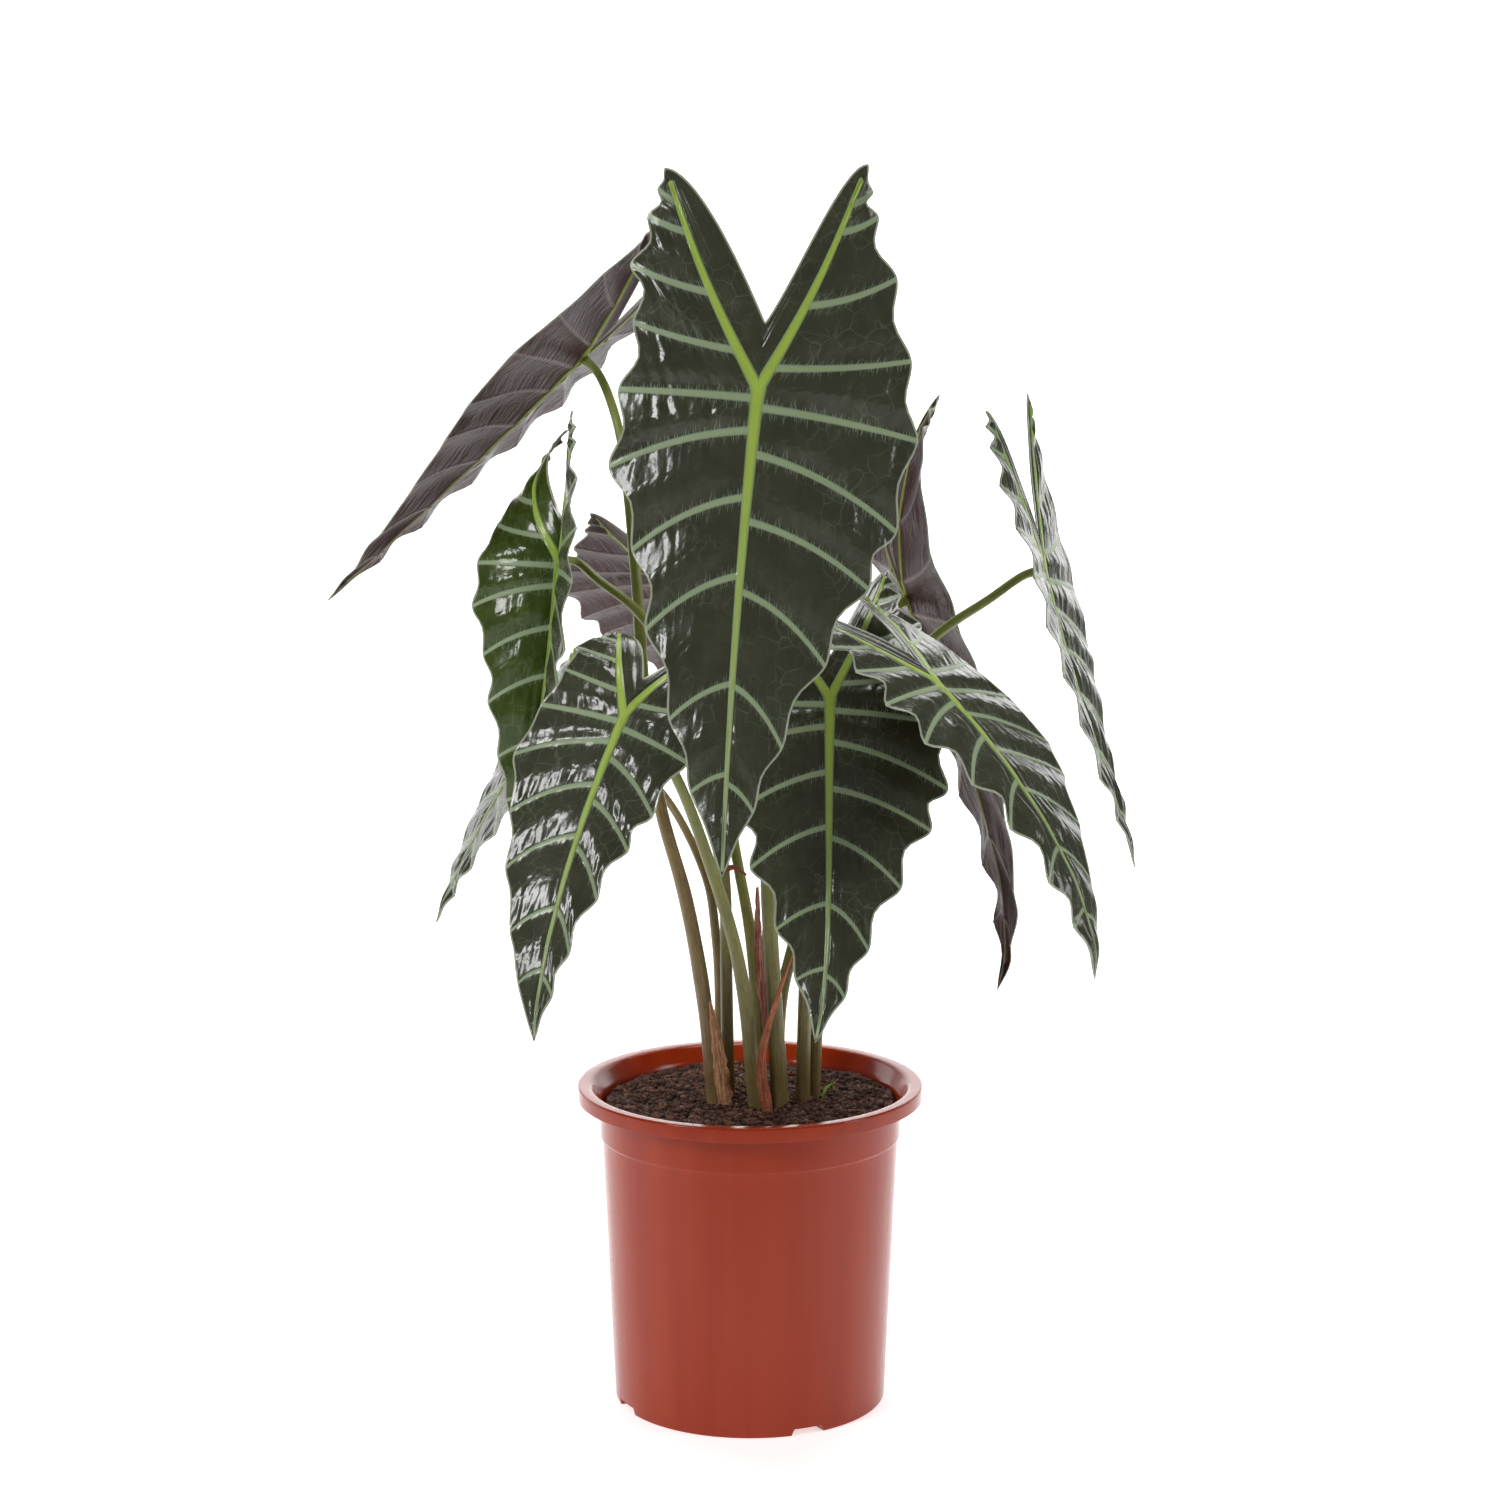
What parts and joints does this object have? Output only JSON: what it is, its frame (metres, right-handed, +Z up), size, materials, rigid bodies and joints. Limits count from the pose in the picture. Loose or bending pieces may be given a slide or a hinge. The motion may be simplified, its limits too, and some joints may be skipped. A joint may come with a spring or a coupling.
{
  "type": "potted alocasia",
  "caption": "Potted plant with arrow-shaped, pale-veined dark leaves on separate stalks, rooted in peat in a round terracotta-coloured plastic pot.",
  "frame": {"origin": "centre of the pot's underside, on the surface that the pot stands on", "axes": "+Z up; -Y towards the plant's front, where the tallest leaf shows its upper side; +X to the right seen from the front"},
  "size_m": [0.4456, 0.4206, 0.676],
  "materials": {
    "pot_plastic": "injection-moulded polypropylene, brick terracotta, satin gloss",
    "peat": "damp dark peat with crumbs and fibres",
    "leaf_blade": "waxy dark green upper side with pale veins, purple-brown underside",
    "leaf_stalk": "smooth green stalk, mottled brown towards the foot",
    "dry_sheath": "dry papery fibre, red-brown to tan",
    "green_sheath": "thin yellow-green membrane",
    "seedling": "fresh green"
  },
  "bodies": {
    "root": {"pot": "pot_plastic", "soil": "peat", "blade_front_tall": "leaf_blade", "stalk_front_tall": "leaf_stalk", "blade_left_high": "leaf_blade", "stalk_left_high": "leaf_stalk", "blade_left_middle": "leaf_blade", "stalk_left_middle": "leaf_stalk", "blade_left_front": "leaf_blade", "stalk_left_front": "leaf_stalk", "blade_centre_front": "leaf_blade", "stalk_centre_front": "leaf_stalk", "blade_right_front": "leaf_blade", "stalk_right_front": "leaf_stalk", "blade_right_far": "leaf_blade", "stalk_right_far": "leaf_stalk", "blade_right_back": "leaf_blade", "stalk_right_back": "leaf_stalk", "blade_back": "leaf_blade", "stalk_back": "leaf_stalk", "blade_left_low": "leaf_blade", "stalk_left_low": "leaf_stalk", "dry_sheath_front": "dry_sheath", "dry_sheath_tall": "dry_sheath", "dry_sheath_twisted": "dry_sheath", "dry_sheath_scrap": "dry_sheath", "green_wing_left": "green_sheath", "green_wing_right": "green_sheath", "seedling": "seedling"}
  },
  "joints": []
}
